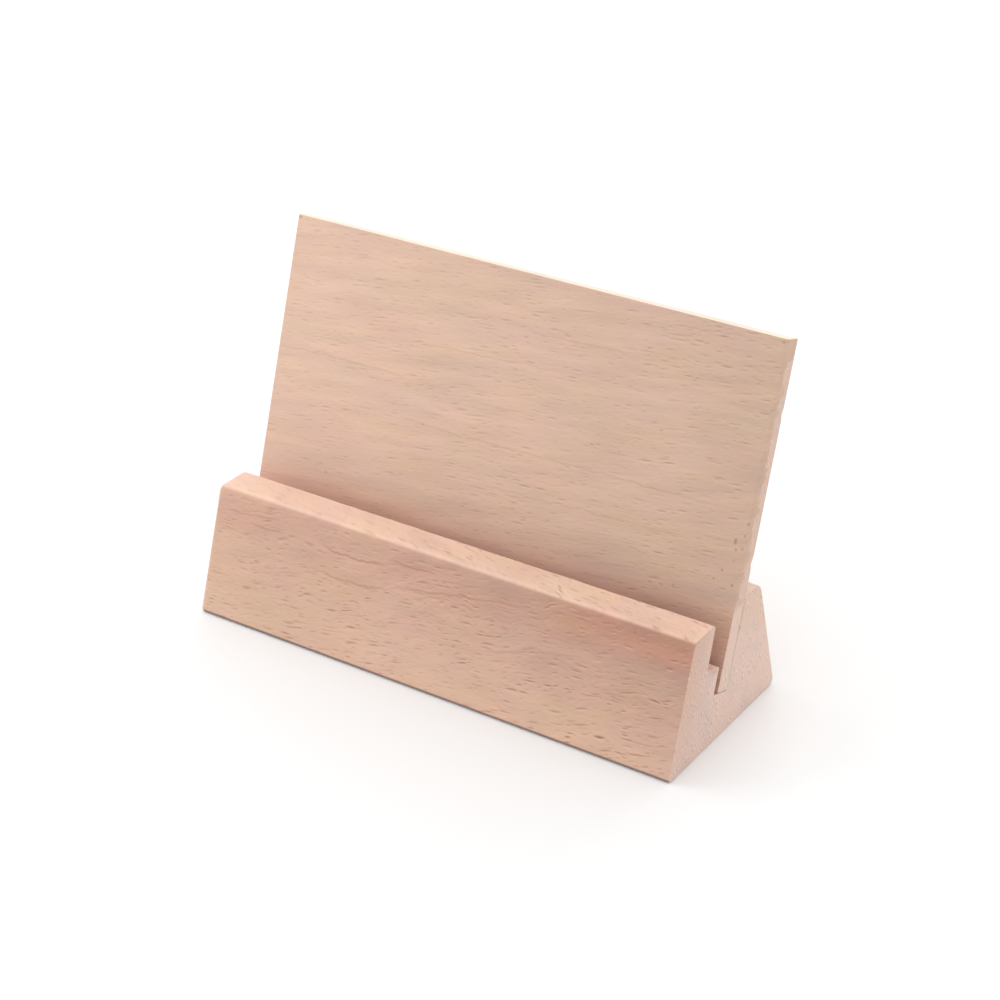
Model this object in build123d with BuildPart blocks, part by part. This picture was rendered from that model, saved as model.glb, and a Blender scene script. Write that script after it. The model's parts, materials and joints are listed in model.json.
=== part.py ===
"""Wooden photo block holder: a grooved beech block and a loose beech board that leans in it.

Millimetres, +Z up, +X along the block, -Y towards the viewer.
The origin is the middle of the block's underside, on the surface that it stands on.
"""
from build123d import *

import math
import os

# Block
block_length = 160.0
block_height = 37.8
face_lean = 17.0  # lean of the front and rear faces from upright, in degrees
lip_thickness = 11.1  # the wall in front of the groove, at its top
rear_thickness = 10.4  # the wall behind the board, at its top
outer_arris = 2.0  # rounding of both long top edges and of the rear foot
front_foot_arris = 1.0
mouth_arris = 0.4  # rounding of the groove's two edges at the top
ledge_arris = 0.3  # rounding of the ledge's edge over the slit
end_arris = 0.6  # rounding around the two sawn ends

# Groove, slit and ledge, all cut square to one leaning direction
groove_lean = 17.7  # lean of the groove and of the board from upright, in degrees
groove_depth = 12.9  # down the slope, from the top of the lip to the ledge
ledge_width = 7.2  # the step in front of the slit, where the cards stand
slit_depth = 8.2  # down the slope, from the ledge to the slit's floor
card_gap = 2.3  # open slit in front of the board

# Board
board_thickness = 5.2
board_height = 97.8  # up the slope, from foot to top edge
board_fit = 0.1  # clearance behind the board and under its foot
board_arris = 0.3

# How far a cutting sketch runs past what it cuts
overrun = 10.0

os.makedirs("parts", exist_ok=True)

# The section's widths: about 59 deep over the rounded feet
lean_sin = math.sin(math.radians(groove_lean))
lean_cos = math.cos(math.radians(groove_lean))
lean_tan = lean_sin / lean_cos
slit_width = card_gap + board_thickness + board_fit
groove_width = ledge_width + slit_width
top_depth = lip_thickness + groove_width / lean_cos + rear_thickness
top_setback = block_height * math.tan(math.radians(face_lean))
half_depth = top_depth / 2 + top_setback

# Places in the section, as seen from the right end: across is +Y, up is +Z
ledge_front_y = lip_thickness - top_depth / 2 - groove_depth * lean_sin
ledge_front_z = block_height - groove_depth * lean_cos

# The leaning frame of groove, slit and board: its origin is the ledge's front corner,
# its x runs to the rear along the ledge and its y runs up the slope.
lean_plane = Plane(
    origin=(0, ledge_front_y, ledge_front_z),
    x_dir=(0, lean_cos, -lean_sin),
    z_dir=(1, 0, 0),
)


def leaning_rectangle(left, right, floor, top):
    """Sketches the rectangle between two slopes and two levels of the leaning frame."""
    with Locations(((left + right) / 2, (floor + top) / 2)):
        Rectangle(right - left, top - floor)


# Grooved block: a trapezoid bar, then the wide card groove and the narrow slit for the board
with BuildPart() as grooved_block:
    with BuildSketch(Plane.YZ) as bar_section:
        with BuildLine():
            Polyline(
                (-half_depth, 0),
                (-top_depth / 2, block_height),
                (top_depth / 2, block_height),
                (half_depth, 0),
                close=True,
            )
        make_face()
        foot_corners = bar_section.vertices().group_by(Axis.Y)[0].sort_by(Axis.X)
        top_corners = bar_section.vertices().group_by(Axis.Y)[-1]
        fillet([*top_corners, foot_corners[-1]], outer_arris)
        front_foot = bar_section.vertices().group_by(Axis.Y)[0].sort_by(Axis.X)[0]
        fillet(front_foot, front_foot_arris)
    extrude(amount=block_length / 2, both=True)

    groove_top = groove_depth + groove_width * lean_tan + overrun
    with BuildSketch(lean_plane):
        leaning_rectangle(0, groove_width, 0, groove_top)
        leaning_rectangle(ledge_width, groove_width, -slit_depth, groove_depth)
    extrude(amount=block_length / 2 + overrun, both=True, mode=Mode.SUBTRACT)

    top_edges = grooved_block.faces().filter_by(Axis.Z).group_by(Axis.Z)[-1].edges().filter_by(Axis.X)
    mouth_edges = top_edges.sort_by(Axis.Y)[1:-1]
    fillet(mouth_edges, mouth_arris)
    ledge_corner = lean_plane.from_local_coords((ledge_width, 0, 0))
    long_edges = grooved_block.edges().filter_by(Axis.X)
    fillet(long_edges.sort_by_distance(ledge_corner)[0], ledge_arris)
    end_faces = grooved_block.faces().filter_by(Axis.X)
    fillet(end_faces.edges(), end_arris)

grooved_block.part.label = "grooved_block"
export_step(grooved_block.part, "parts/grooved_block.step")

# Leaning board: as long as the block, stands in the slit against the rear wall
with BuildPart() as display_board:
    with BuildSketch(lean_plane):
        leaning_rectangle(
            ledge_width + card_gap,
            ledge_width + card_gap + board_thickness,
            board_fit - slit_depth,
            board_fit - slit_depth + board_height,
        )
    extrude(amount=block_length / 2, both=True)
    fillet(display_board.edges(), board_arris)

display_board.part.label = "display_board"
export_step(display_board.part, "parts/display_board.step")

# How far the board lifts up the slope before its foot is out of the block
foot_rise = (block_height - ledge_front_z) / lean_cos + slit_depth
foot_rise += (ledge_width + card_gap) * lean_tan
print("block", grooved_block.part.bounding_box().size)
print("board", display_board.part.bounding_box().size)
print("ledge front corner y, z", round(ledge_front_y, 3), round(ledge_front_z, 3))
print("lift that frees the board's foot", round(foot_rise, 2))
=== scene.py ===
import json
import math

import bpy
import numpy as np
from mathutils import Matrix, Vector


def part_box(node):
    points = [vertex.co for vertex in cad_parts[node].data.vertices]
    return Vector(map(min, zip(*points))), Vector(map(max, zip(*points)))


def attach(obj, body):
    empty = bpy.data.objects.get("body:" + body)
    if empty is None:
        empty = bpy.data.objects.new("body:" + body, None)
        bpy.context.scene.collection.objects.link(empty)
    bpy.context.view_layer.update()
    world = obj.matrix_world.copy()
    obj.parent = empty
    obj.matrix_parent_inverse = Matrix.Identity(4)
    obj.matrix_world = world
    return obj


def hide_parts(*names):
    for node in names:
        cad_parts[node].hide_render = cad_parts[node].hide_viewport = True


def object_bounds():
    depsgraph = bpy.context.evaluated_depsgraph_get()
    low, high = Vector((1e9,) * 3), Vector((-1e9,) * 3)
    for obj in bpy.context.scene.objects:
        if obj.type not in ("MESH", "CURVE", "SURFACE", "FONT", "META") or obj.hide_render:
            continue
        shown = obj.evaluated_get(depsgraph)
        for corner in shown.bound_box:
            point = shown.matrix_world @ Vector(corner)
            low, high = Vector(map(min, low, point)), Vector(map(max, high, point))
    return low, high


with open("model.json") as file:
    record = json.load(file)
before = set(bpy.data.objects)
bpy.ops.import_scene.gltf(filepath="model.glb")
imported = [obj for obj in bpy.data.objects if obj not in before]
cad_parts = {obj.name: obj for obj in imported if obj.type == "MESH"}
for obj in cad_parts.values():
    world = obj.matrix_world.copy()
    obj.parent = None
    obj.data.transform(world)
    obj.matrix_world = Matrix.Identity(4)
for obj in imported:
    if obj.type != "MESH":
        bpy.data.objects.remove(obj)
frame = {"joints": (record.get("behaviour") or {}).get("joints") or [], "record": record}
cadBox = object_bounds()

millimetre = 0.001
upSlope = np.array(frame["joints"][0]["axis"])  # the board slides along this, up the slope
acrossSlope = np.array([0.0, upSlope[2], -upSlope[1]])  # from the board's front to its back
alongBlock = np.array([1.0, 0.0, 0.0])
groove = next(m for m in frame["record"]["mounts"] if m["name"] == "card_groove")
boardLean = math.atan2(upSlope[1], upSlope[2])
faceLean = math.radians(17.0)  # of the block's front and rear faces


# Mesh tools

nanometreDigits = 9  # places along a piece that agree to this many decimals of a metre are one place
wanderCounts = np.array([1.0, 1.7, 2.9, 4.3])  # how often each sine of a wander fits into the longest


# Unit directions of the edges that run into each corner and out of it.
def edgeDirections(corners):
    into = corners - np.roll(corners, 1, axis=-2)
    out = np.roll(corners, -1, axis=-2) - corners
    into = into / np.linalg.norm(into, axis=-1, keepdims=True)
    out = out / np.linalg.norm(out, axis=-1, keepdims=True)
    return into, out


# The direction a quarter turn to the left, which points into an outline that runs counterclockwise.
def leftOf(direction):
    return np.stack([-direction[..., 1], direction[..., 0]], axis=-1)


# Signed angle by which the outline turns at each corner: above zero where it is convex.
def cornerTurns(into, out):
    cross = into[..., 0] * out[..., 1] - into[..., 1] * out[..., 0]
    return np.arctan2(cross, np.sum(into * out, axis=-1))


# Each corner C moves inwards by its inset e along the mitre: C + e (a + b) / (1 + a.b), where a and b
# are the inward normals of its two edges. Its radius shrinks by e if convex, and grows by e if hollow.
def insetOutline(corners, radii, insets, leastRadius):
    into, out = edgeDirections(corners)
    a, b = leftOf(into), leftOf(out)
    mitre = (a + b) / (1.0 + np.sum(a * b, axis=-1, keepdims=True))
    side = np.sign(cornerTurns(into, out))
    return corners + insets[..., None] * mitre, np.maximum(radii - side * insets, leastRadius)


# A corner C of radius r, where the outline turns from direction u to v by the angle w, becomes an arc:
# C - t u + r (sin(k w) u + (1 - cos(k w)) n) for k from 0 to 1, with t = r tan(w / 2) and n square to u.
# One more point on each side, a shoulder away from the arc, keeps the flats flat in smooth shading.
def roundedOutline(corners, radii, arcSteps, shoulder):
    into, out = edgeDirections(corners)
    turns = cornerTurns(into, out)[..., None, None]
    u, v = into[..., None, :], out[..., None, :]
    n = np.sign(turns) * leftOf(u)
    w, r = np.abs(turns), radii[..., None, None]
    t = r * np.tan(w / 2)
    k = np.linspace(0.0, 1.0, arcSteps + 1)[:, None]
    start = corners[..., None, :] - t * u
    arc = start + r * (np.sin(k * w) * u + (1.0 - np.cos(k * w)) * n)
    end = corners[..., None, :] + t * v
    points = np.concatenate([start - shoulder * u, arc, end + shoulder * v], axis=-2)
    return points.reshape(*points.shape[:-3], -1, 2)


# Depth of a rounded end of radius R at the distance d from the end: R - sqrt(R^2 - (R - d)^2).
def endInset(distance, radius):
    reach = np.clip(radius - distance, 0.0, radius)
    return radius - np.sqrt(np.maximum(radius * radius - reach * reach, 0.0))


# Places along a piece from end to end: even steps, and close ones in the rounding of both ends.
def stationsAlong(length, step, endRadii, endSteps, shoulder):
    widest = max(endRadii)
    middle = np.linspace(0.0, length, int(round(length / step)) + 1)[1:-1]
    middle = middle[(middle > widest + 2 * shoulder) & (middle < length - widest - 2 * shoulder)]
    turn = np.linspace(0.0, math.pi / 2, endSteps + 1)
    near = np.concatenate([r * (1.0 - np.sin(turn)) for r in endRadii] + [np.array([widest + shoulder])])
    near = np.unique(np.round(near, nanometreDigits))
    return np.concatenate([near, middle, length - near[::-1]])


# A solid through rings of outline points: vertex = origin + a axisA + b axisB + s axisS.
# The sides are a grid of rings by points, and each end is closed by one flat face.
def sweptSolid(name, outlines, stations, origin, axisA, axisB, axisS):
    rings, points = outlines.shape[:2]
    vertices = origin + outlines[..., :1] * axisA + outlines[..., 1:] * axisB
    vertices = vertices + stations[:, None, None] * axisS
    index = np.arange(rings * points).reshape(rings, points)
    here, beside = index[:-1], np.roll(index, -1, axis=1)[:-1]
    above, aboveBeside = index[1:], np.roll(index, -1, axis=1)[1:]
    quads = np.stack([here, beside, aboveBeside, above], axis=-1).reshape(-1, 4)
    faces = quads.tolist() + [index[0, ::-1].tolist(), index[-1].tolist()]
    mesh = bpy.data.meshes.new(name)
    mesh.from_pydata(vertices.reshape(-1, 3).tolist(), [], faces)
    smooth = np.ones(len(faces), dtype=bool)
    smooth[-2:] = False
    mesh.polygons.foreach_set("use_smooth", smooth)
    mesh.update()
    mesh.validate()
    solid = bpy.data.objects.new(name, mesh)
    bpy.context.scene.collection.objects.link(solid)
    return solid


# A soft unevenness from about -1 to 1: the mean of a few sines of different lengths and phases.
def softWander(places, longest, seed):
    rng = np.random.default_rng(seed)
    lengths = longest / wanderCounts
    phases = rng.uniform(0.0, 2 * math.pi, len(lengths))
    return np.mean(np.sin(2 * math.pi * places[..., None] / lengths + phases), axis=-1)


# Sanding only takes wood away, so each radius grows, by a share from 0 to twice the wear.
def wornRadii(radii, places, wear, longest, seed):
    wander = np.stack([softWander(places, longest, seed + k) for k in range(len(radii))], axis=-1)
    return radii * (1.0 + wear * (1.0 + wander))


# Shader tools

white = (1.0, 1.0, 1.0)
noiseMiddle = 0.5  # the mean of a noise
streakNoise = {"detail": 1.5, "roughness": 0.6}
mixSockets = (0, 6, 7)  # of a node that mixes colours: the share, and the colours at share 0 and 1
mixResult = 2
pitFade = (1.3, 0.3)  # in half sizes from a pit's middle: where its mark starts, and where it is whole
pitDepth = 1.0
lineCoreShare = 0.2  # of a growth line's half width, which is at full strength
lineMiddleShare = 0.5  # and of its half length


# Adds a node, sets its properties by name, and fills its inputs with values or links.
def addNode(tree, kind, inputs=None, **properties):
    made = tree.nodes.new("ShaderNode" + kind)
    for name, value in properties.items():
        setattr(made, name, value)
    for name, value in (inputs or {}).items():
        if isinstance(value, bpy.types.NodeSocket):
            tree.links.new(value, made.inputs[name])
        else:
            made.inputs[name].default_value = value
    return made


def calc(tree, operation, first, second=0.0):
    return addNode(tree, "Math", {0: first, 1: second}, operation=operation).outputs[0]


# first times second, plus third
def mulAdd(tree, first, second, third):
    return addNode(tree, "Math", {0: first, 1: second, 2: third}, operation="MULTIPLY_ADD").outputs[0]


def vectorCalc(tree, operation, first, second, third=(0.0, 0.0, 0.0)):
    inputs = {0: first, 1: second}
    if operation == "MULTIPLY_ADD":
        inputs[2] = third
    return addNode(tree, "VectorMath", inputs, operation=operation).outputs[0]


def scaled(tree, vector, factor):
    return addNode(tree, "VectorMath", {0: vector, "Scale": factor}, operation="SCALE").outputs[0]


def smoothRange(tree, value, low, high, newLow=0.0, newHigh=1.0):
    inputs = {"Value": value, "From Min": low, "From Max": high, "To Min": newLow, "To Max": newHigh}
    return addNode(tree, "MapRange", inputs, interpolation_type="SMOOTHSTEP").outputs["Result"]


def mixColour(tree, share, first, second):
    made = addNode(tree, "Mix", data_type="RGBA")
    for number, value in zip(mixSockets, (share, first, second)):
        socket = made.inputs[number]
        if isinstance(value, bpy.types.NodeSocket):
            tree.links.new(value, socket)
        else:
            socket.default_value = value if isinstance(value, float) else (*value, 1.0)
    return made.outputs[mixResult]


def softNoise(tree, where, stretch, detail=2.0, roughness=0.5):
    placed = vectorCalc(tree, "MULTIPLY", where, tuple(1.0 / s for s in stretch))
    inputs = {"Vector": placed, "Scale": 1.0, "Detail": detail, "Roughness": roughness}
    return addNode(tree, "TexNoise", inputs)


# Spindle flecks in the plane of a face: each cell of a stretched Voronoi pattern holds one, of its own
# size and strength.
def spindleFlecks(tree, where, fleck):
    length, width = fleck["cell"]
    placed = vectorCalc(tree, "MULTIPLY", where, (1.0 / length, 1.0 / width, 0.0))
    cells = addNode(tree, "TexVoronoi", {"Vector": placed, "Scale": 1.0}, voronoi_dimensions="2D")
    chance = addNode(tree, "SeparateColor", {"Color": cells.outputs["Color"]})
    radius = smoothRange(tree, chance.outputs["Red"], 0.0, 1.0, fleck["least"], fleck["most"])
    nearness = calc(tree, "DIVIDE", cells.outputs["Distance"], radius)
    shape = smoothRange(tree, nearness, 1.0, fleck["core"])
    strength = smoothRange(tree, chance.outputs["Green"], fleck["missing"], 1.0, 0.0, fleck["share"])
    return calc(tree, "MULTIPLY", shape, strength)


# Painted light and shade of a shallow relief: stretched streaks, a noise less the same noise a step further
# up.
def reliefStreaks(tree, where, streak):
    here = softNoise(tree, where, streak["stretch"], **streakNoise).outputs["Fac"]
    moved = vectorCalc(tree, "ADD", where, streak["shift"])
    above = softNoise(tree, moved, streak["stretch"], **streakNoise).outputs["Fac"]
    return calc(tree, "MULTIPLY", calc(tree, "SUBTRACT", here, above), streak["amount"])


# The strongest mark of several layers of flecks.
def fleckLayers(tree, where, layers):
    marks = spindleFlecks(tree, where, layers[0])
    for fleck in layers[1:]:
        marks = calc(tree, "MAXIMUM", marks, spindleFlecks(tree, where, fleck))
    return marks


# An oval mark around a middle. Its fade is in half sizes: where it starts, and where it is whole.
def ovalMark(tree, where, middle, halfSizes, fade, strength):
    offset = vectorCalc(tree, "SUBTRACT", where, middle)
    squeezed = vectorCalc(tree, "MULTIPLY", offset, tuple(1.0 / half for half in halfSizes))
    away = addNode(tree, "VectorMath", {0: squeezed}, operation="LENGTH").outputs["Value"]
    return smoothRange(tree, away, *fade, 0.0, strength)


# Single pits on the front face: (along, up, half length, half width, strength), in millimetres.
def singlePits(tree, where, pits):
    marks = 0.0
    for along, up, halfAlong, halfUp, strength in pits:
        mark = ovalMark(tree, where, (along, 0.0, up), (halfAlong, pitDepth, halfUp), pitFade, strength)
        marks = calc(tree, "MAXIMUM", marks, mark)
    return marks


# Lines of the growth rings on the front face: (middle along, height, half length, slope, bend, half width,
# strength). Each is a parabola, up = height + slope a + bend a^2, where a is the distance along from its
# middle, and it thins out towards both ends.
def ringLines(tree, along, up, lines):
    marks = 0.0
    for middle, height, half, slope, bend, width, strength in lines:
        a = calc(tree, "SUBTRACT", along, middle)
        curve = mulAdd(tree, calc(tree, "MULTIPLY", a, a), bend, mulAdd(tree, a, slope, height))
        away = calc(tree, "ABSOLUTE", calc(tree, "SUBTRACT", up, curve))
        across = smoothRange(tree, away, width, lineCoreShare * width)
        fromMiddle = calc(tree, "ABSOLUTE", a)
        ends = smoothRange(tree, fromMiddle, half, lineMiddleShare * half, 0.0, strength)
        marks = calc(tree, "MAXIMUM", marks, calc(tree, "MULTIPLY", across, ends))
    return marks


# Stage: floor, light and camera

stageSetup = {
    "floorSize": 6.0,
    "floorColour": (0.86, 0.86, 0.86),
    "floorRoughness": 0.9,
    "floorSpecular": 0.1,
    "worldStrength": 0.86,
}

softLights = {
    # name: place, point it faces, width, height, power in watts
    "overhead": ((0.0, 0.1, 1.2), (0.0, 0.0, 0.0), 1.2, 1.2, 0.92),
    "front_fill": ((0.1, -1.2, 0.6), (0.0, 0.0, 0.05), 1.0, 0.8, 2.3),
    "rear_fill": ((-0.2, 1.0, 0.9), (0.0, 0.0, 0.05), 1.2, 0.7, 4.9),
    "key_left": ((-0.5, -0.1, 0.35), (0.0, 0.0, 0.05), 0.5, 0.5, 1.39),
    "low_right": ((0.6, 0.1, 0.25), (0.0, 0.0, 0.05), 0.4, 0.4, 0.53),
}

cameraSetup = {
    "azimuth": 33.139,  # degrees to the right of the front
    "elevation": 28.486,
    "roll": 0.194,
    "distance": 0.67143,
    "lens": 83.585,
    "sensor": 36.0,
    "aim": (-0.005379, 0.018648, 0.038026),
    "nearest": 0.01,
    "farthest": 20.0,
}


def makeFloor():
    half = stageSetup["floorSize"] / 2
    corners = [(-half, -half, 0), (half, -half, 0), (half, half, 0), (-half, half, 0)]
    mesh = bpy.data.meshes.new("studio_floor")
    mesh.from_pydata(corners, [], [(0, 1, 2, 3)])
    floor = bpy.data.objects.new("studio_floor", mesh)
    bpy.context.scene.collection.objects.link(floor)
    paint = bpy.data.materials.new("floor_white")
    paint.use_nodes = True
    shader = paint.node_tree.nodes["Principled BSDF"]
    shader.inputs["Base Color"].default_value = (*stageSetup["floorColour"], 1.0)
    shader.inputs["Roughness"].default_value = stageSetup["floorRoughness"]
    shader.inputs["Specular IOR Level"].default_value = stageSetup["floorSpecular"]
    mesh.materials.append(paint)


def makeLights():
    world = bpy.data.worlds.new("studio")
    world.use_nodes = True
    sky = world.node_tree.nodes["Background"]
    sky.inputs["Color"].default_value = (*white, 1.0)
    sky.inputs["Strength"].default_value = stageSetup["worldStrength"]
    bpy.context.scene.world = world
    for name, (place, target, width, height, power) in softLights.items():
        lamp = bpy.data.lights.new(name, "AREA")
        lamp.shape = "RECTANGLE"
        lamp.size, lamp.size_y = width, height
        lamp.energy = power
        holder = bpy.data.objects.new(name, lamp)
        holder.location = place
        holder.rotation_euler = (Vector(target) - Vector(place)).to_track_quat("-Z", "Y").to_euler()
        bpy.context.scene.collection.objects.link(holder)


# The camera's back axis points from the aim to the camera, at the azimuth and the elevation.
def makeCamera():
    azimuth, elevation, roll = (math.radians(cameraSetup[k]) for k in ("azimuth", "elevation", "roll"))
    level = math.cos(elevation)
    back = Vector((math.sin(azimuth) * level, -math.cos(azimuth) * level, math.sin(elevation)))
    side = Vector((math.cos(azimuth), math.sin(azimuth), 0.0))
    up = back.cross(side)
    rolledSide = math.cos(roll) * side + math.sin(roll) * up
    rolledUp = math.cos(roll) * up - math.sin(roll) * side
    lens = bpy.data.cameras.new("camera")
    lens.lens = cameraSetup["lens"]
    lens.sensor_width = cameraSetup["sensor"]
    lens.clip_start, lens.clip_end = cameraSetup["nearest"], cameraSetup["farthest"]
    camera = bpy.data.objects.new("camera", lens)
    turned = Matrix((rolledSide, rolledUp, back)).transposed().to_4x4()
    place = Vector(cameraSetup["aim"]) + back * cameraSetup["distance"]
    camera.matrix_world = Matrix.Translation(place) @ turned
    bpy.context.scene.collection.objects.link(camera)
    bpy.context.scene.camera = camera
    bpy.context.scene.view_settings.view_transform = "Standard"


makeFloor()
makeLights()
makeCamera()
print("stage ready: floor, lights and camera")


# Beech
# Lengths in these tables are millimetres: along the piece, into it from its front face, and up the slope.
# A pair of numbers gives where a change starts and where it is complete.

halfLength = cadBox[1][0] / millimetre

beechRules = {
    # how far a face's normal points up on a top, along on a sawn end, and up on a rounded arris and past it
    "topNormal": (0.70, 0.98),
    "sawnNormal": (0.25, 0.70),
    "arrisNormal": (0.34, 0.55),
    "pastArrisNormal": (0.95, 0.80),
    # the painted contact shadow on the foot: how far its normal points up, and its height above the floor
    "footNormal": (0.26, -0.10),
    "footHeight": (2.2, 1.4),
    # places along, between which the flecks on the top and on the other faces change in strength
    "topSpan": (-50.0, 10.0),
    "sideSpan": (-60.0, 60.0),
    # depths that the single lines and the tints of the front face reach, and where the rear's wood starts
    "lineDepth": (1.5, 0.7),
    "frontDepth": (12.0, 4.0),
    "rearDepth": (18.0, 24.0),
    "bandNoise": (0.35, 0.65),
    "wobble": {"stretch": (5.0, 5.0, 5.0), "amount": 2.2},
    # a fine tooth beside the flecks, and the depth of the whole relief
    "tooth": {"stretch": (0.9, 0.25, 1.0), "amount": 0.25},
    "reliefDepth": 0.04,
    "roughNoise": (0.3, 0.7),
    "roughness": (0.52, 0.66),
    "specular": 0.3,
    # end grain: patches, stains, the turns of its chains and ticks, and the depth over which it gets lighter
    "pinkNoise": (0.40, 0.65),
    "greyNoise": (0.45, 0.70),
    "stainFade": (1.3, 0.4),
    "chainTurn": math.radians(45.0),
    "tickTurn": math.radians(-25.0),
    "endDepth": 56.0,
}

boardWood = {
    "lean": boardLean,
    "tilt": math.radians(6.5),  # the grain climbs to the right
    "wave": {"stretch": (40.0, 16.0, 1.0), "amount": 3.0},
    "jitter": {"stretch": (5.0, 1.5, 1.0), "amount": 0.40},
    "base": (0.602, 0.413, 0.314),
    "rearBase": (0.602, 0.413, 0.314),
    # a painted falloff of light: darker to the right
    "paintedFalloff": {
        "middle": 49.0, "half": 49.0,
        "alongShare": -0.075, "upShare": 0.0, "bothShare": 0.0, "topShare": 0.0,
    },
    # painted red bounce light in the shade low in the groove under the lip, less red and darker at the
    # right, and a little darker at the top right
    "tints": [
        {"along": (-90.0, -80.0), "up": (28.0, 19.0), "colour": (1.10, 1.00, 1.02)},
        {"along": (10.0, 50.0), "up": (30.0, 22.0), "colour": (0.93, 0.94, 0.935)},
        {"along": (45.0, 75.0), "up": (24.0, 34.0), "colour": (0.96, 0.965, 0.95)},
    ],
    "tone": {"stretch": (26.0, 3.6, 1.0), "amount": 0.30},
    "hue": {"stretch": (20.0, 8.0, 1.0), "amount": (0.075, 0.085, 0.21)},
    "streak": {"stretch": (3.0, 0.75, 1.0), "shift": (0.0, 0.5, 0.0), "amount": 0.10},
    "flecks": [
        {"cell": (7.4, 1.08), "least": 0.16, "most": 0.42, "core": 0.05, "missing": 0.32, "share": 0.43},
        {"cell": (4.2, 0.88), "least": 0.16, "most": 0.42, "core": 0.05, "missing": 0.40, "share": 0.34},
        {"cell": (16.0, 1.30), "least": 0.12, "most": 0.36, "core": 0.05, "missing": 0.50, "share": 0.30},
    ],
    # the flecks gather along wavy bands, and grow stronger from left to right
    "bands": {"stretch": (24.0, 2.0, 1.0), "least": 0.55, "most": 1.30},
    "sideFlecks": (0.80, 1.05),
    # a painted highlight: a pale border just below each fleck
    "borderShift": (0.0, 0.45, 0.0),
    "borderShare": 0.5,
    "fleckColour": (0.34, 0.18, 0.115),
    "borderColour": (0.76, 0.56, 0.44),
    "pits": [
        (76.3, 41.9, 0.5, 1.0, 0.75), (76.9, 39.7, 0.35, 0.45, 0.7), (74.1, 33.3, 0.45, 0.4, 0.7),
        (72.2, 30.4, 0.35, 0.35, 0.6), (77.8, 30.0, 0.4, 0.5, 0.8), (79.0, 47.4, 0.4, 0.5, 0.7),
        (76.9, 36.6, 0.4, 0.3, 0.5), (78.7, 44.0, 0.35, 0.6, 0.5), (78.6, 40.4, 0.5, 0.6, 0.45),
        (53.9, 24.1, 0.6, 0.3, 0.4), (57.2, 24.4, 0.7, 0.3, 0.4), (60.9, 25.2, 0.6, 0.3, 0.4),
        (-56.4, 25.4, 0.6, 0.4, 0.4), (28.7, 56.2, 0.7, 0.3, 0.4), (48.7, 65.4, 0.7, 0.3, 0.35),
        (2.4, 80.2, 0.8, 0.3, 0.4), (0.9, 70.6, 0.8, 0.3, 0.35), (-26.0, 47.8, 0.8, 0.3, 0.35),
        (-79.2, 96.9, 0.6, 0.5, 0.6), (78.6, 96.7, 0.5, 0.5, 0.5),
    ],
    "rings": [
        (22.0, 48.7, 60.0, 0.024, 0.0, 0.40, 0.22),
        (-55.0, 59.5, 25.0, 0.020, 0.0, 0.40, 0.22),
        (20.0, 82.5, 20.0, 0.045, 0.0, 0.40, 0.20),
        (-8.0, 72.0, 32.0, 0.060, 0.0, 0.35, 0.16),
        (30.0, 37.5, 40.0, 0.050, 0.0, 0.40, 0.16),
    ],
    "topColour": (0.84, 0.700, 0.575),
    "rearTopColour": (0.84, 0.700, 0.575),
    "topFlecks": (0.4, 0.4),
    "topStreaks": 0.6,
    "footShade": None,
    "endColour": (0.600, 0.422, 0.326),
    "endPink": (0.632, 0.425, 0.346),
    "endGrey": (0.560, 0.430, 0.360),
    "endPatch": (8.0, 4.0, 1.0),
    "endShare": 0.0,
    "endTans": [],
    "endStains": [],
    "endStreak": {"stretch": (0.8, 1.4, 1.0), "shift": (0.5, 0.0, 0.0), "amount": 0.20},
    "tick": {"cell": (0.85, 3.0), "least": 0.20, "most": 0.50, "core": 0.1, "missing": 0.25, "share": 0.65},
    "tickShift": (0.42, 0.3, 0.0),
    "tickColour": (0.82, 0.67, 0.54),
    "tickDark": (0.38, 0.235, 0.18),
    "chain": {"stretch": (8.0, 2.8, 1.0), "noise": (0.36, 0.52)},
    # the face's colour laps over the sawn end to a ragged depth, and over all of it at the top. In the slit
    # the end is as the block's, and above it the rear rim has painted shadow in places
    "lap": {
        "least": 0.9, "most": 3.4, "length": 4.5, "noise": (0.42, 0.66), "blur": 0.15,
        "topEdge": 91.0, "topDepth": 6.0, "slitTop": 24.0, "fade": 2.0,
        "slotColour": (0.655, 0.482, 0.395),
        "rimDepth": (4.3, 5.1), "rimNoise": (0.35, 0.60), "rimShadowShare": 0.5, "rimShadowColour": (0.43, 0.33, 0.28),
    },
}

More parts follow.
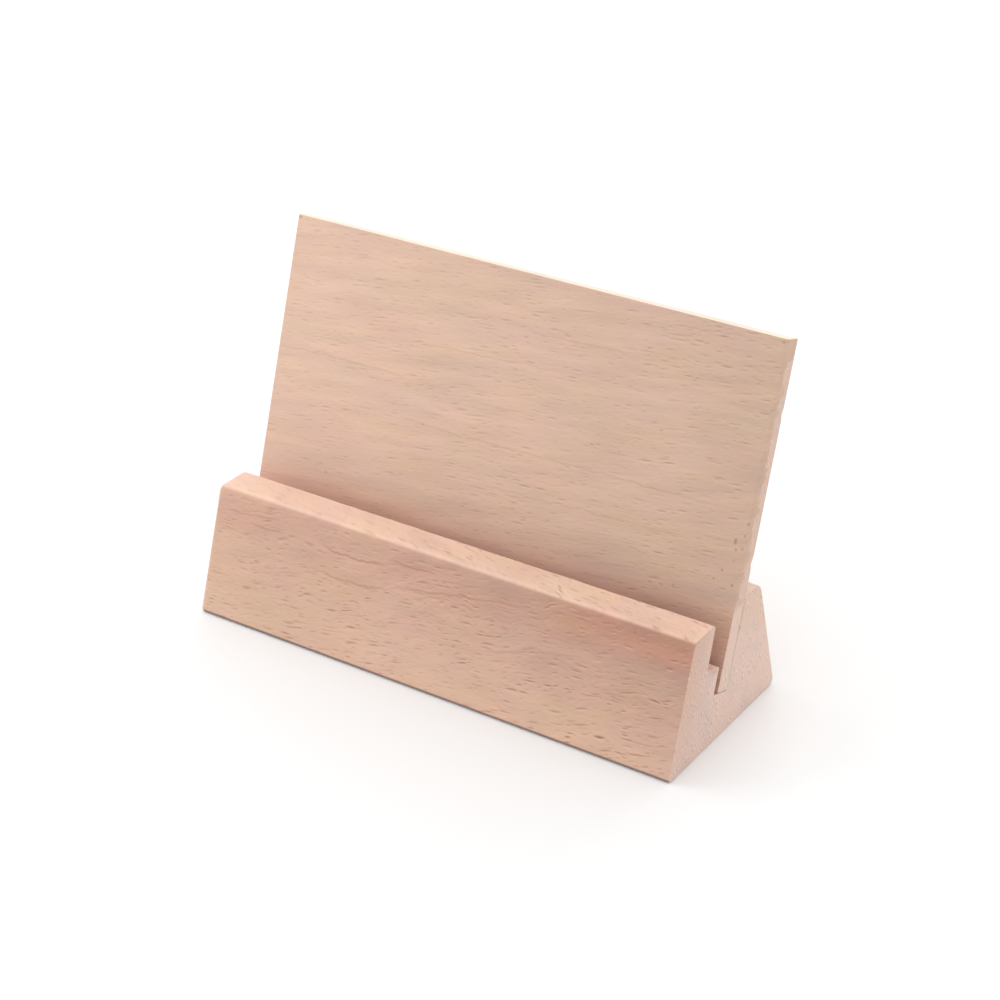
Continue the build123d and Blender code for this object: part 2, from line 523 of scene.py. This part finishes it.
blockWood = {
    "lean": faceLean,
    "tilt": math.radians(9.0),
    "wave": {"stretch": (13.0, 8.0, 1.0), "amount": 3.4},
    "jitter": {"stretch": (5.0, 1.5, 1.0), "amount": 0.6},
    "base": (0.572, 0.358, 0.270),
    "rearBase": (0.640, 0.440, 0.340),
    # a painted falloff of light: the front face darker to the right and towards the top, and the top darker
    # to the right
    "paintedFalloff": {
        "middle": 19.0, "half": 19.0,
        "alongShare": -0.112, "upShare": -0.160, "bothShare": -0.065, "topShare": -0.035,
    },
    # darker at the left, redder at the top right, more of a tan low down and pinker higher up
    "tints": [
        {"along": (-15.0, -55.0), "up": (44.0, 30.0), "colour": (0.92, 0.935, 0.92)},
        {"along": (20.0, 60.0), "up": (26.0, 36.0), "colour": (1.06, 0.925, 0.86)},
        {"along": (-90.0, -80.0), "up": (22.0, 6.0), "colour": (0.97, 1.015, 0.99)},
        {"along": (-90.0, -80.0), "up": (22.0, 34.0), "colour": (1.025, 0.985, 0.985)},
    ],
    "tone": {"stretch": (16.0, 4.5, 1.0), "amount": 0.28},
    "hue": {"stretch": (16.0, 9.0, 1.0), "amount": (0.08, 0.09, 0.22)},
    "streak": {"stretch": (2.6, 0.80, 1.0), "shift": (0.0, 0.55, 0.0), "amount": 0.14},
    "flecks": [
        {"cell": (7.5, 1.18), "least": 0.16, "most": 0.42, "core": 0.05, "missing": 0.30, "share": 0.70},
        {"cell": (4.1, 0.90), "least": 0.16, "most": 0.42, "core": 0.05, "missing": 0.34, "share": 0.56},
        {"cell": (14.0, 1.40), "least": 0.12, "most": 0.36, "core": 0.05, "missing": 0.50, "share": 0.48},
    ],
    "bands": {"stretch": (18.0, 2.2, 1.0), "least": 0.50, "most": 1.35},
    "sideFlecks": (0.85, 1.05),
    # a painted highlight: a pale border just below each fleck
    "borderShift": (0.0, 0.5, 0.0),
    "borderShare": 0.38,
    "fleckColour": (0.33, 0.145, 0.09),
    "borderColour": (0.74, 0.53, 0.42),
    "pits": [(62.0, 37.2, 0.6, 0.4, 0.6)],
    "rings": [
        (-29.0, 31.2, 14.0, 0.02, 0.012, 0.45, 0.50),
        (-9.0, 34.4, 9.0, 0.02, 0.004, 0.42, 0.50),
        (6.0, 30.6, 26.0, 0.165, -0.0010, 0.42, 0.40),
        (-28.0, 24.3, 14.0, 0.06, 0.006, 0.45, 0.40),
        (-60.0, 31.3, 7.0, 0.02, 0.008, 0.42, 0.38),
        (-66.0, 34.0, 12.0, 0.10, 0.000, 0.40, 0.28),
        (32.0, 22.0, 18.0, 0.26, 0.000, 0.40, 0.24),
    ],
    "topColour": (0.768, 0.525, 0.405),
    "rearTopColour": (0.770, 0.580, 0.470),
    "topFlecks": (0.35, 0.70),  # the left part of the lip has few
    "topStreaks": 0.8,
    # a painted contact shadow where the foot turns under
    "footShade": (0.42, 0.42, 0.50),
    "endColour": (0.665, 0.490, 0.410),
    "endPink": (0.660, 0.475, 0.398),
    "endGrey": (0.605, 0.460, 0.400),
    "endPatch": (9.0, 7.0, 1.0),
    "endShare": 0.08,
    # tanner towards the front and towards the top at the rear, and a faint stain just under the ledge
    "endTans": [
        {"into": (16.0, 2.0), "up": (-10.0, 36.0), "share": 0.9, "colour": (0.600, 0.395, 0.310)},
        {"into": (16.0, 22.0), "up": (34.0, 43.0), "share": 0.6, "colour": (0.620, 0.450, 0.350)},
    ],
    "endStains": [{"middle": (14.3, 28.9, 0.0), "halfSizes": (2.6, 0.9, 1.0), "strength": 0.3}],
    "endStreak": {"stretch": (0.7, 1.6, 1.0), "shift": (0.45, 0.0, 0.0), "amount": 0.26},
    "tick": {"cell": (0.85, 2.3), "least": 0.20, "most": 0.50, "core": 0.1, "missing": 0.20, "share": 0.72},
    "tickShift": (0.42, 0.3, 0.0),
    "tickColour": (0.83, 0.70, 0.61),
    "tickDark": (0.35, 0.205, 0.16),
    "chain": {"stretch": (13.0, 2.8, 1.0), "noise": (0.38, 0.54)},
    "lap": None,
}


# The colour of a sawn end. Its plane is the depth from the front face by the height up the slope.
def endGrainColour(tree, wood, plane, into, up, faceColour):
    rules = beechRules
    patch = softNoise(tree, plane, wood["endPatch"]).outputs["Color"]
    patches = addNode(tree, "SeparateColor", {"Color": patch}).outputs
    pinker = smoothRange(tree, patches["Red"], *rules["pinkNoise"])
    greyer = smoothRange(tree, patches["Green"], *rules["greyNoise"])
    colour = mixColour(tree, pinker, wood["endColour"], wood["endPink"])
    colour = mixColour(tree, greyer, colour, wood["endGrey"])
    for tan in wood["endTans"]:
        inside = calc(tree, "MULTIPLY", smoothRange(tree, into, *tan["into"]), tan["share"])
        inside = calc(tree, "MULTIPLY", inside, smoothRange(tree, up, *tan["up"]))
        colour = mixColour(tree, inside, colour, tan["colour"])

    lap = wood["lap"]
    if lap:
        inSlit = smoothRange(tree, up, lap["slitTop"] + lap["fade"], lap["slitTop"] - lap["fade"])
        colour = mixColour(tree, inSlit, colour, lap["slotColour"])

    for stain in wood["endStains"]:
        mark = ovalMark(tree, plane, fade=rules["stainFade"], **stain)
        colour = mixColour(tree, mark, colour, wood["fleckColour"])

    # light ticks with a dark side, in chains that run down to the rear
    turned = addNode(tree, "Mapping", {"Vector": plane, "Rotation": (0.0, 0.0, rules["chainTurn"])})
    chains = softNoise(tree, turned.outputs["Vector"], wood["chain"]["stretch"]).outputs["Fac"]
    chains = smoothRange(tree, chains, *wood["chain"]["noise"])
    leaning = addNode(tree, "Mapping", {"Vector": plane, "Rotation": (0.0, 0.0, rules["tickTurn"])})
    tickPlane = leaning.outputs["Vector"]
    darkPlane = vectorCalc(tree, "ADD", tickPlane, wood["tickShift"])
    for where, tickColour in ((darkPlane, wood["tickDark"]), (tickPlane, wood["tickColour"])):
        ticks = calc(tree, "MULTIPLY", spindleFlecks(tree, where, wood["tick"]), chains)
        colour = mixColour(tree, ticks, colour, tickColour)
    # the end gets lighter towards the rear, and its streaks carry painted relief shading
    shade = mulAdd(tree, into, wood["endShare"] / rules["endDepth"], 1.0 - wood["endShare"] / 2)
    colour = scaled(tree, colour, calc(tree, "ADD", shade, reliefStreaks(tree, plane, wood["endStreak"])))

    if lap:
        above = calc(tree, "SUBTRACT", 1.0, inSlit)
        heights = addNode(tree, "CombineXYZ", {"X": up}).outputs[0]
        ragged = softNoise(tree, heights, (lap["length"], 1.0, 1.0)).outputs["Fac"]
        edge = smoothRange(tree, ragged, *lap["noise"], lap["least"], lap["most"])
        nearTop = smoothRange(tree, up, lap["topEdge"], lap["topEdge"] + lap["fade"])
        edge = mulAdd(tree, nearTop, lap["topDepth"], edge)
        lapped = smoothRange(tree, calc(tree, "SUBTRACT", into, edge), lap["blur"], -lap["blur"])
        # painted shadow in patches along the rear rim, above the slit
        atRim = calc(tree, "MULTIPLY", smoothRange(tree, into, *lap["rimDepth"]), lap["rimShadowShare"])
        atRim = calc(tree, "MULTIPLY", atRim, smoothRange(tree, patches["Blue"], *lap["rimNoise"]))
        colour = mixColour(tree, calc(tree, "MULTIPLY", lapped, above), colour, faceColour)
        colour = mixColour(tree, calc(tree, "MULTIPLY", atRim, above), colour, lap["rimShadowColour"])
    return colour


# The plane of the long faces: along by up less into, so that the grain runs on over an arris. It is tilted,
# and wanders by soft noises.
def grainPlane(tree, wood, along, into, up):
    side = addNode(tree, "CombineXYZ", {"X": along, "Y": calc(tree, "SUBTRACT", up, into)}).outputs[0]
    tilted = addNode(tree, "Mapping", {"Vector": side, "Rotation": (0.0, 0.0, -wood["tilt"])})
    grain = tilted.outputs["Vector"]
    for wander in (wood["wave"], wood["jitter"]):
        moved = softNoise(tree, grain, wander["stretch"], detail=1.0).outputs["Color"]
        grain = vectorCalc(tree, "MULTIPLY_ADD", moved, (0.0, wander["amount"], 0.0), grain)
    return grain


# How strong the flecks are: less on top than beside, in bands, and none on the rounded arrises, which are
# sanded.
def fleckStrength(tree, wood, grain, along, top, facingUp):
    rules, bands = beechRules, wood["bands"]
    onTop = smoothRange(tree, along, *rules["topSpan"], *wood["topFlecks"])
    onSide = smoothRange(tree, along, *rules["sideSpan"], *wood["sideFlecks"])
    strength = mulAdd(tree, top, calc(tree, "SUBTRACT", onTop, onSide), onSide)
    inBand = softNoise(tree, grain, bands["stretch"], detail=1.0).outputs["Fac"]
    inBand = smoothRange(tree, inBand, *rules["bandNoise"], bands["least"], bands["most"])
    strength = calc(tree, "MULTIPLY", strength, inBand)
    rounded = smoothRange(tree, facingUp, *rules["arrisNormal"])
    rounded = calc(tree, "MULTIPLY", rounded, smoothRange(tree, facingUp, *rules["pastArrisNormal"]))
    return calc(tree, "MULTIPLY", strength, calc(tree, "SUBTRACT", 1.0, rounded))


# The single growth lines, which wobble, and lie in the front face only.
def frontLines(tree, wood, flat, along, into, up):
    wobble = beechRules["wobble"]
    noise = softNoise(tree, flat, wobble["stretch"]).outputs["Fac"]
    height = mulAdd(tree, calc(tree, "SUBTRACT", noise, noiseMiddle), wobble["amount"], up)
    lines = ringLines(tree, along, height, wood["rings"])
    return calc(tree, "MULTIPLY", lines, smoothRange(tree, into, *beechRules["lineDepth"]))


# Long grain without its flecks: colour = base x hue x tints x (1 + shade). The base differs on top and at
# the rear, and the shade adds up the front face's painted falloff of light, the streaks' painted relief
# shading and the tone.
def longGrainColour(tree, wood, grain, along, into, up, top, tone):
    rules, paintedFalloff = beechRules, wood["paintedFalloff"]
    beside = calc(tree, "SUBTRACT", 1.0, top)
    onFront = calc(tree, "MULTIPLY", beside, smoothRange(tree, into, *rules["frontDepth"]))
    u = calc(tree, "DIVIDE", along, halfLength)
    v = calc(tree, "DIVIDE", calc(tree, "SUBTRACT", up, paintedFalloff["middle"]), paintedFalloff["half"])
    shade = calc(tree, "MULTIPLY", u, mulAdd(tree, v, paintedFalloff["bothShare"], paintedFalloff["alongShare"]))
    shade = calc(tree, "MULTIPLY", mulAdd(tree, v, paintedFalloff["upShare"], shade), onFront)
    shade = mulAdd(tree, calc(tree, "MULTIPLY", u, top), paintedFalloff["topShare"], shade)
    streakShare = mulAdd(tree, top, wood["topStreaks"] - 1.0, 1.0)
    shade = mulAdd(tree, reliefStreaks(tree, grain, wood["streak"]), streakShare, shade)
    shade = mulAdd(tree, calc(tree, "SUBTRACT", tone, noiseMiddle), wood["tone"]["amount"], shade)

    rear = smoothRange(tree, into, *rules["rearDepth"])
    lower = mixColour(tree, rear, wood["base"], wood["rearBase"])
    upper = mixColour(tree, rear, wood["topColour"], wood["rearTopColour"])
    hue = softNoise(tree, grain, wood["hue"]["stretch"]).outputs["Color"]
    hue = vectorCalc(tree, "SUBTRACT", hue, (noiseMiddle,) * 3)
    hue = vectorCalc(tree, "MULTIPLY_ADD", hue, wood["hue"]["amount"], white)
    colour = vectorCalc(tree, "MULTIPLY", mixColour(tree, top, lower, upper), hue)
    for tint in wood["tints"]:
        inside = calc(tree, "MULTIPLY", onFront, smoothRange(tree, along, *tint["along"]))
        inside = calc(tree, "MULTIPLY", inside, smoothRange(tree, up, *tint["up"]))
        colour = vectorCalc(tree, "MULTIPLY", colour, mixColour(tree, inside, white, tint["colour"]))
    return scaled(tree, colour, calc(tree, "ADD", shade, 1.0))


# Painted contact shadow: the rounded foot is darkened where it turns under, just above the floor, but not on
# the sawn ends.
def shadedFoot(tree, wood, colour, source, facingUp, sawn):
    if not wood["footShade"]:
        return colour
    place = addNode(tree, "SeparateXYZ", {"Vector": source.outputs["Object"]}).outputs
    heights = [height * millimetre for height in beechRules["footHeight"]]
    under = smoothRange(tree, facingUp, *beechRules["footNormal"])
    under = calc(tree, "MULTIPLY", under, smoothRange(tree, place["Z"], *heights))
    under = calc(tree, "MULTIPLY", under, calc(tree, "SUBTRACT", 1.0, sawn))
    return vectorCalc(tree, "MULTIPLY", colour, mixColour(tree, under, white, wood["footShade"]))


# A beech material: foot is the lower edge of the piece's front face, where its own lengths start.
def beech(name, wood, foot):
    rules = beechRules
    made = bpy.data.materials.new(name)
    made.use_nodes = True
    tree = made.node_tree
    shader = tree.nodes["Principled BSDF"]
    source = addNode(tree, "TexCoord")
    start = Matrix.Rotation(wood["lean"], 3, "X") @ Vector(foot) / -millimetre
    turned = {"Vector": source.outputs["Object"], "Location": start, "Rotation": (wood["lean"], 0.0, 0.0)}
    flat = addNode(tree, "Mapping", {**turned, "Scale": (1 / millimetre,) * 3}).outputs["Vector"]
    along, into, up = addNode(tree, "SeparateXYZ", {"Vector": flat}).outputs

    grain = grainPlane(tree, wood, along, into, up)

    # how much the face looks up, and how much it is a sawn end
    facing = addNode(tree, "SeparateXYZ", {"Vector": source.outputs["Normal"]}).outputs
    top = smoothRange(tree, facing["Z"], *rules["topNormal"])
    sawn = smoothRange(tree, calc(tree, "ABSOLUTE", facing["X"]), *rules["sawnNormal"])

    # flecks where the rays are cut, with a painted highlight as a pale border below, and the single lines
    # and pits of the front face
    strength = fleckStrength(tree, wood, grain, along, top, facing["Z"])
    marks = calc(tree, "MULTIPLY", fleckLayers(tree, grain, wood["flecks"]), strength)
    border = fleckLayers(tree, vectorCalc(tree, "ADD", grain, wood["borderShift"]), wood["flecks"])
    border = calc(tree, "MULTIPLY", calc(tree, "MULTIPLY", border, strength), wood["borderShare"])
    marks = calc(tree, "MAXIMUM", marks, frontLines(tree, wood, flat, along, into, up))
    pits = singlePits(tree, flat, wood["pits"])

    tone = softNoise(tree, grain, wood["tone"]["stretch"]).outputs["Fac"]
    colour = longGrainColour(tree, wood, grain, along, into, up, top, tone)
    colour = mixColour(tree, border, colour, wood["borderColour"])
    colour = mixColour(tree, marks, colour, wood["fleckColour"])

    endPlane = addNode(tree, "CombineXYZ", {"X": into, "Y": up}).outputs[0]
    endGrain = endGrainColour(tree, wood, endPlane, into, up, colour)
    colour = mixColour(tree, sawn, colour, endGrain)
    colour = mixColour(tree, pits, colour, wood["fleckColour"])
    colour = shadedFoot(tree, wood, colour, source, facing["Z"], sawn)
    tree.links.new(colour, shader.inputs["Base Color"])

    # relief: flecks are shallow grooves, and a fine sanded tooth covers all
    tooth = softNoise(tree, grain, rules["tooth"]["stretch"]).outputs["Fac"]
    tooth = calc(tree, "MULTIPLY", tooth, rules["tooth"]["amount"])
    relief = calc(tree, "SUBTRACT", tooth, calc(tree, "MAXIMUM", marks, pits))
    depth = rules["reliefDepth"] * millimetre
    bump = addNode(tree, "Bump", {"Height": relief, "Strength": 1.0, "Distance": depth})
    tree.links.new(bump.outputs["Normal"], shader.inputs["Normal"])
    roughness = smoothRange(tree, tone, *rules["roughNoise"], *rules["roughness"])
    tree.links.new(roughness, shader.inputs["Roughness"])
    shader.inputs["Specular IOR Level"].default_value = rules["specular"]
    return made


# Grooved block

blockPiece = {
    "lipThickness": 0.0111,
    "rearThickness": 0.0104,
    "grooveDepth": 0.0129,
    "ledgeWidth": 0.0072,
    "slitWidth": 0.0076,
    "slitDepth": 0.0082,
    "outerRadius": 0.002,
    "frontFootRadius": 0.001,
    "mouthRadius": 0.0004,
    "ledgeRadius": 0.0003,
    "hollowRadius": 0.00015,
    "rearMouthRadius": 0.00015,
    "leftEndRadius": 0.0016,  # the left end is sanded rounder than the right one
    "lipLeftEndRadius": 0.0026,
    "rightEndRadius": 0.0007,
    "rearTopEndRadius": 0.0014,
    "grooveEndRadius": 0.00025,  # around the groove, at both ends
    "slitEndRadius": 0.0001,
    "seamNarrowing": 0.00006,  # the slit's rear wall stands this much closer behind the board
    "wear": 0.3,  # on the upper edges
    "wearLength": 0.03,
    "wearSeed": 1,
    "step": 0.001,
    "arcSteps": 6,
    "endSteps": 6,
    "shoulder": 0.00015,
    "leastRadius": 0.00002,
}


def makeBlock():
    b = blockPiece
    low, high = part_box("grooved_block")
    length, height = high.x - low.x, high.z
    slope, across = upSlope[1:], acrossSlope[1:]
    topDepth = b["lipThickness"] + (b["ledgeWidth"] + b["slitWidth"]) / upSlope[2] + b["rearThickness"]
    setback = height * math.tan(faceLean)
    mouthFront = np.array([b["lipThickness"] - topDepth / 2, height])
    ledgeFront = mouthFront - b["grooveDepth"] * slope
    ledgeEdge = ledgeFront + b["ledgeWidth"] * across
    slitFront = ledgeEdge - b["slitDepth"] * slope
    slitRear = slitFront + (b["slitWidth"] - b["seamNarrowing"]) * across
    mouthRear = np.array([topDepth / 2 - b["rearThickness"] - b["seamNarrowing"] / upSlope[2], height])
    small = b["grooveEndRadius"]
    # place, rounding along the block, rounding at the left end and at the right end
    cornerTable = [
        ((-topDepth / 2 - setback, 0.0), b["frontFootRadius"], b["leftEndRadius"], b["rightEndRadius"]),
        ((topDepth / 2 + setback, 0.0), b["outerRadius"], b["leftEndRadius"], b["rightEndRadius"]),
        ((topDepth / 2, height), b["outerRadius"], b["leftEndRadius"], b["rearTopEndRadius"]),
        (mouthRear, b["rearMouthRadius"], small, b["rearTopEndRadius"]),
        (slitRear, b["hollowRadius"], small, b["slitEndRadius"]),
        (slitFront, b["hollowRadius"], small, small),
        (ledgeEdge, b["ledgeRadius"], small, small),
        (ledgeFront, b["hollowRadius"], small, small),
        (mouthFront, b["mouthRadius"], b["lipLeftEndRadius"], b["rightEndRadius"]),
        ((-topDepth / 2, height), b["outerRadius"], b["lipLeftEndRadius"], b["rightEndRadius"]),
    ]
    corners, radii, leftEnds, rightEnds = (np.array(column) for column in zip(*cornerTable))
    endRadii = sorted({*leftEnds, *rightEnds})
    places = stationsAlong(length, b["step"], endRadii, b["endSteps"], b["shoulder"])
    wear = np.where(corners[:, 1] > 0.0, b["wear"], 0.0)
    worn = wornRadii(radii, places, wear, b["wearLength"], b["wearSeed"])
    insets = endInset(places[:, None], leftEnds) + endInset(length - places[:, None], rightEnds)
    spread = np.broadcast_to(corners, (len(places), *corners.shape))
    inner, innerRadii = insetOutline(spread, worn, insets, b["leastRadius"])
    outlines = roundedOutline(inner, innerRadii, b["arcSteps"], b["shoulder"])
    origin = np.array([low.x, 0.0, 0.0])
    yAxis, zAxis = np.array([0.0, 1.0, 0.0]), np.array([0.0, 0.0, 1.0])
    block = sweptSolid("beech_block", outlines, places, origin, yAxis, zAxis, alongBlock)
    block.data.materials.append(beech("beech_block", blockWood, (0.0, *corners[0])))
    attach(block, "block")
    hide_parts("grooved_block")
    return block


makeBlock()
print("grooved block ready")


# Display board

boardPiece = {
    "thickness": 0.0052,
    "height": 0.0978,
    "cardGap": 0.0023,
    "arris": 0.00015,
    "seamArris": 0.00006,  # beside the block's end grain
    "edgeArris": 0.00032,  # along the top and the foot
    "fit": 0.0001,
    "wear": 0.3,
    "wearLength": 0.02,
    "wearSeed": 20,
    # tear-out along the front arris of the right end: distance up from the foot, half length, depth
    "tearOut": [
        (0.0950, 0.0030, 0.0013),
        (0.0900, 0.0022, 0.0006),
        (0.0830, 0.0030, 0.0008),
        (0.0775, 0.0026, 0.0013),
        (0.0700, 0.0034, 0.0007),
        (0.0645, 0.0022, 0.0012),
        (0.0585, 0.0030, 0.0013),
        (0.0525, 0.0026, 0.0009),
        (0.0455, 0.0034, 0.0013),
        (0.0385, 0.0024, 0.0007),
        (0.0330, 0.0024, 0.0012),
    ],
    # and along the rear arris of that end
    "rearTearOut": [(0.0773, 0.0012, 0.0006), (0.0360, 0.0014, 0.0008)],
    "step": 0.0005,
    "arcSteps": 5,
    "endSteps": 4,
    "shoulder": 0.00012,
    "leastRadius": 0.00002,
}


# Chips along an arris: the sum of depth exp(-((place - middle) / half length)^2) over all of them.
def tearOutDepth(places, chips):
    middle, half, depth = np.array(chips).T
    return np.sum(depth * np.exp(-(((places[:, None] - middle) / half) ** 2)), axis=-1)


def makeBoard():
    b = boardPiece
    low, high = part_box("display_board")
    width = high.x - low.x
    ledgeMiddle = np.array(groove["pos_m"])
    ledgeEdge = ledgeMiddle + blockPiece["ledgeWidth"] / 2 * acrossSlope
    foot = ledgeEdge + b["cardGap"] * acrossSlope + (b["fit"] - blockPiece["slitDepth"]) * upSlope
    corners = np.array([(0.0, 0.0), (width, 0.0), (width, b["thickness"]), (0.0, b["thickness"])])
    places = stationsAlong(b["height"], b["step"], [b["edgeArris"]], b["endSteps"], b["shoulder"])
    arrises = np.array([b["arris"], b["arris"], b["seamArris"], b["arris"]])
    radii = wornRadii(arrises, places, b["wear"], b["wearLength"], b["wearSeed"])
    radii[:, 1] += tearOutDepth(places, b["tearOut"])
    radii[:, 2] += tearOutDepth(places, b["rearTearOut"])
    fromEnd = np.minimum(places, b["height"] - places)
    insets = np.repeat(endInset(fromEnd, b["edgeArris"])[:, None], len(corners), axis=1)
    spread = np.broadcast_to(corners, (len(places), *corners.shape))
    inner, innerRadii = insetOutline(spread, radii, insets, b["leastRadius"])
    outlines = roundedOutline(inner, innerRadii, b["arcSteps"], b["shoulder"])
    origin = foot + low.x * alongBlock
    board = sweptSolid("beech_board", outlines, places, origin, alongBlock, acrossSlope, upSlope)
    board.data.materials.append(beech("beech_board", boardWood, foot))
    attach(board, "board")
    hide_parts("display_board")
    return board


makeBoard()
print("display board ready")
